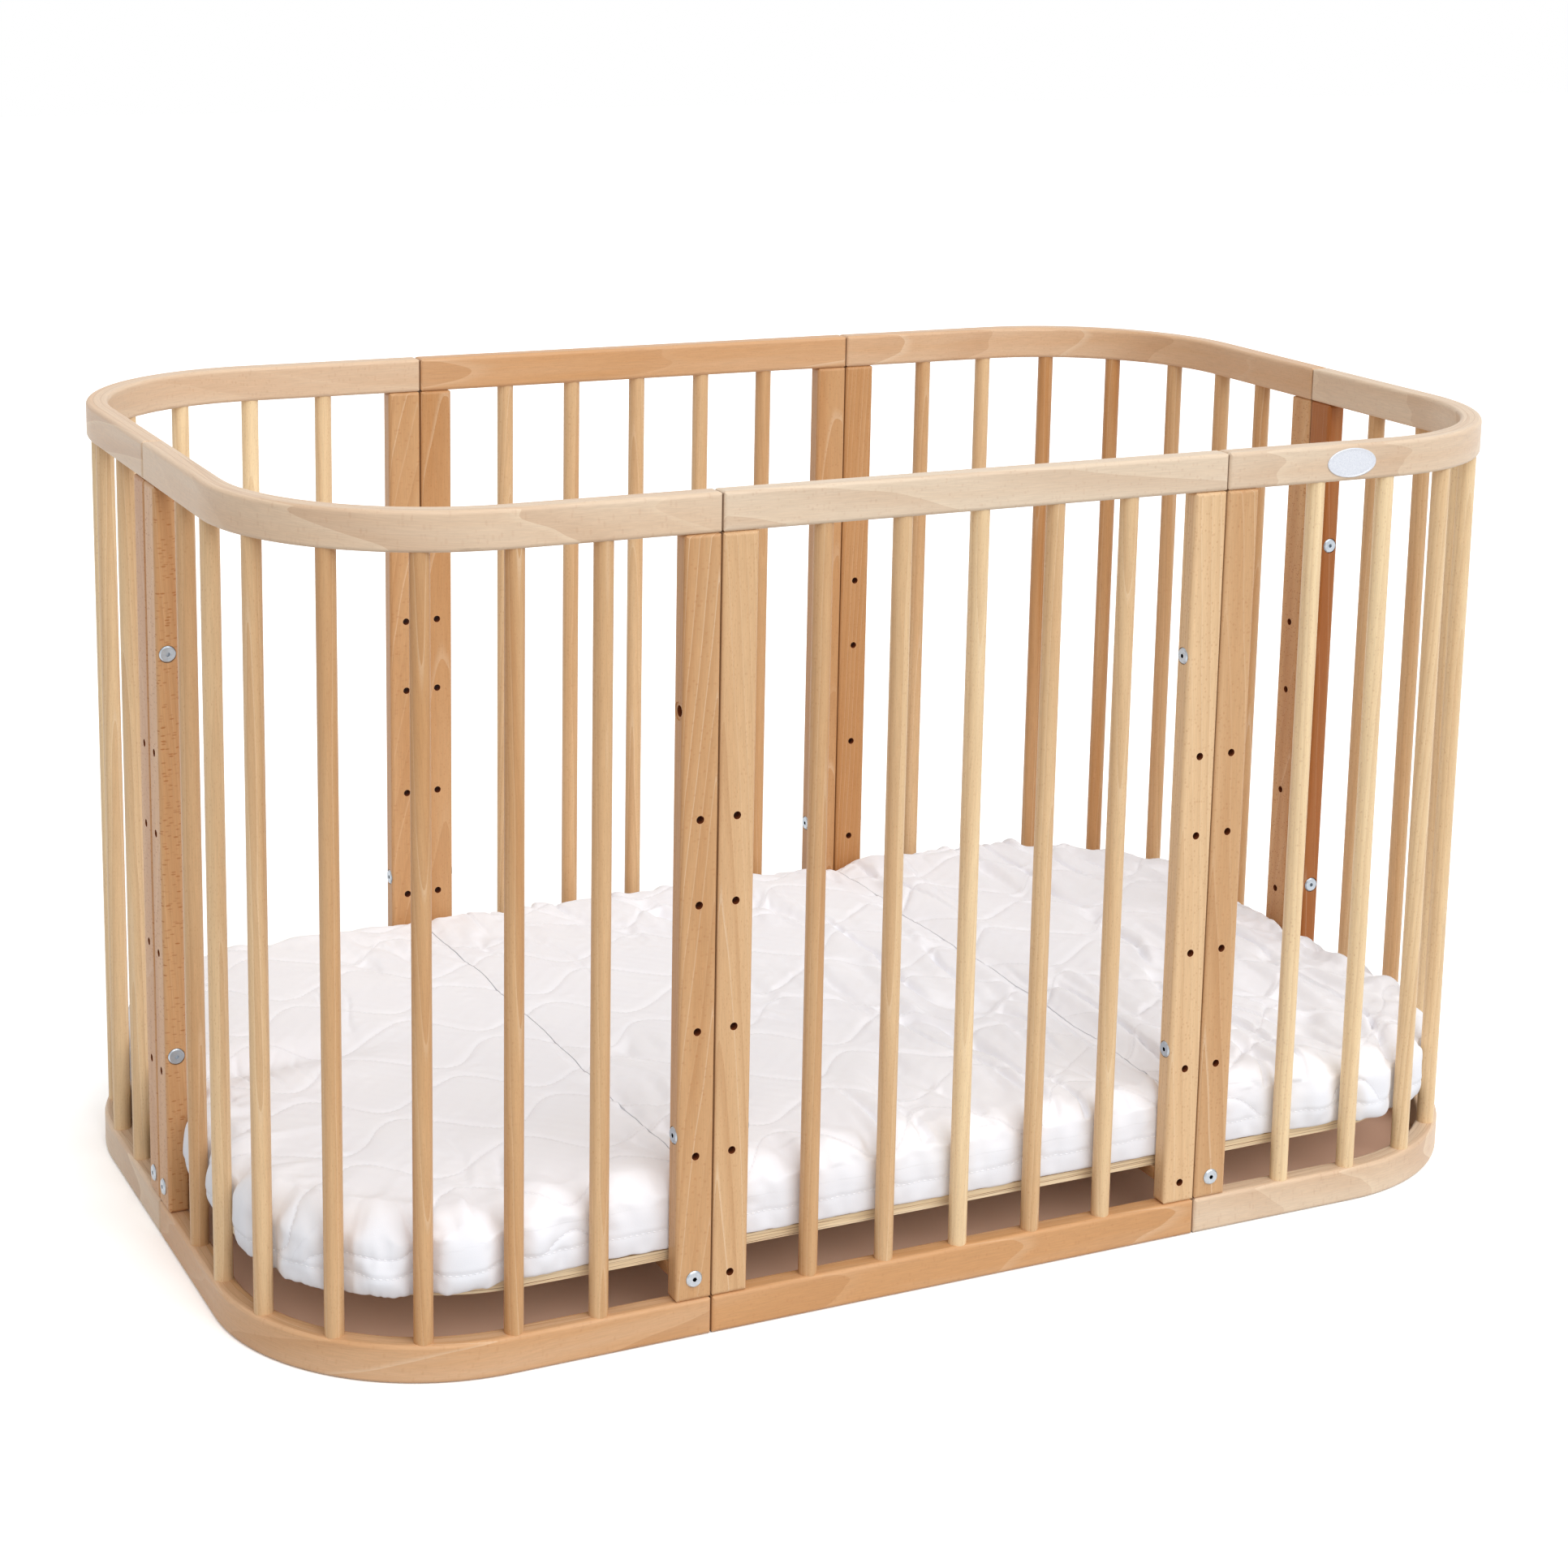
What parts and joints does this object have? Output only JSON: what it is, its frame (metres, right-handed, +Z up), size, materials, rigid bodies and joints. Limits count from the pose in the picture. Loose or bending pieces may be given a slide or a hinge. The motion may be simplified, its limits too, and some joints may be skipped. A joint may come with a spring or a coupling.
{
  "type": "oval wooden playpen cot",
  "caption": "Oval beech playpen cot with bent corner panels, upright round bars, bolted posts with base height holes, a plywood base and a three-part quilted mattress.",
  "frame": {"origin": "centre of the footprint, on the floor", "axes": "+X along the length, +Y from the front long side to the back, +Z up"},
  "size_m": [1.353, 0.823, 0.795],
  "materials": {
    "pale_beech": "satin lacquered bent and straight beech rails",
    "beech": "satin lacquered solid beech posts",
    "beech_bars": "satin lacquered turned beech bars",
    "bearer_beech": "planed beech",
    "birch_plywood": "clear lacquered birch plywood",
    "zinc_steel": "bright zinc plated steel",
    "quilted_cotton": "white quilted cotton"
  },
  "bodies": {
    "cot": {"front_left_corner_top_rail": "pale_beech", "front_left_corner_bottom_rail": "pale_beech", "front_left_corner_side_post": "beech", "front_left_corner_end_post": "beech", "front_left_corner_bars": "beech_bars", "front_right_corner_top_rail": "pale_beech", "front_right_corner_bottom_rail": "pale_beech", "front_right_corner_side_post": "beech", "front_right_corner_end_post": "beech", "front_right_corner_bars": "beech_bars", "back_left_corner_top_rail": "pale_beech", "back_left_corner_bottom_rail": "pale_beech", "back_left_corner_side_post": "beech", "back_left_corner_end_post": "beech", "back_left_corner_bars": "beech_bars", "back_right_corner_top_rail": "pale_beech", "back_right_corner_bottom_rail": "pale_beech", "back_right_corner_side_post": "beech", "back_right_corner_end_post": "beech", "back_right_corner_bars": "beech_bars", "front_side_top_rail": "pale_beech", "front_side_bottom_rail": "pale_beech", "front_side_left_post": "beech", "front_side_right_post": "beech", "front_side_bars": "beech_bars", "back_side_top_rail": "pale_beech", "back_side_bottom_rail": "pale_beech", "back_side_left_post": "beech", "back_side_right_post": "beech", "back_side_bars": "beech_bars", "left_cross_bearer": "bearer_beech", "left_end_bearer": "bearer_beech", "left_end_board": "birch_plywood", "right_cross_bearer": "bearer_beech", "right_end_bearer": "bearer_beech", "right_end_board": "birch_plywood", "middle_board": "birch_plywood", "frame_pins": "bearer_beech", "connector_bolts": "zinc_steel", "connector_sleeve_nuts": "zinc_steel", "base_bolts": "zinc_steel", "base_barrel_nuts": "zinc_steel", "board_screws": "zinc_steel"},
    "left_mattress": {"left_mattress_part": "quilted_cotton"},
    "middle_mattress": {"middle_mattress_part": "quilted_cotton"},
    "right_mattress": {"right_mattress_part": "quilted_cotton"}
  },
  "joints": [
    {"name": "left_mattress_lift", "type": "slide", "parent": "cot", "child": "left_mattress", "axis": [0, 0, 1], "range_m": [0, 0.74]},
    {"name": "middle_mattress_lift", "type": "slide", "parent": "cot", "child": "middle_mattress", "axis": [0, 0, 1], "range_m": [0, 0.74]},
    {"name": "right_mattress_lift", "type": "slide", "parent": "cot", "child": "right_mattress", "axis": [0, 0, 1], "range_m": [0, 0.74]}
  ]
}
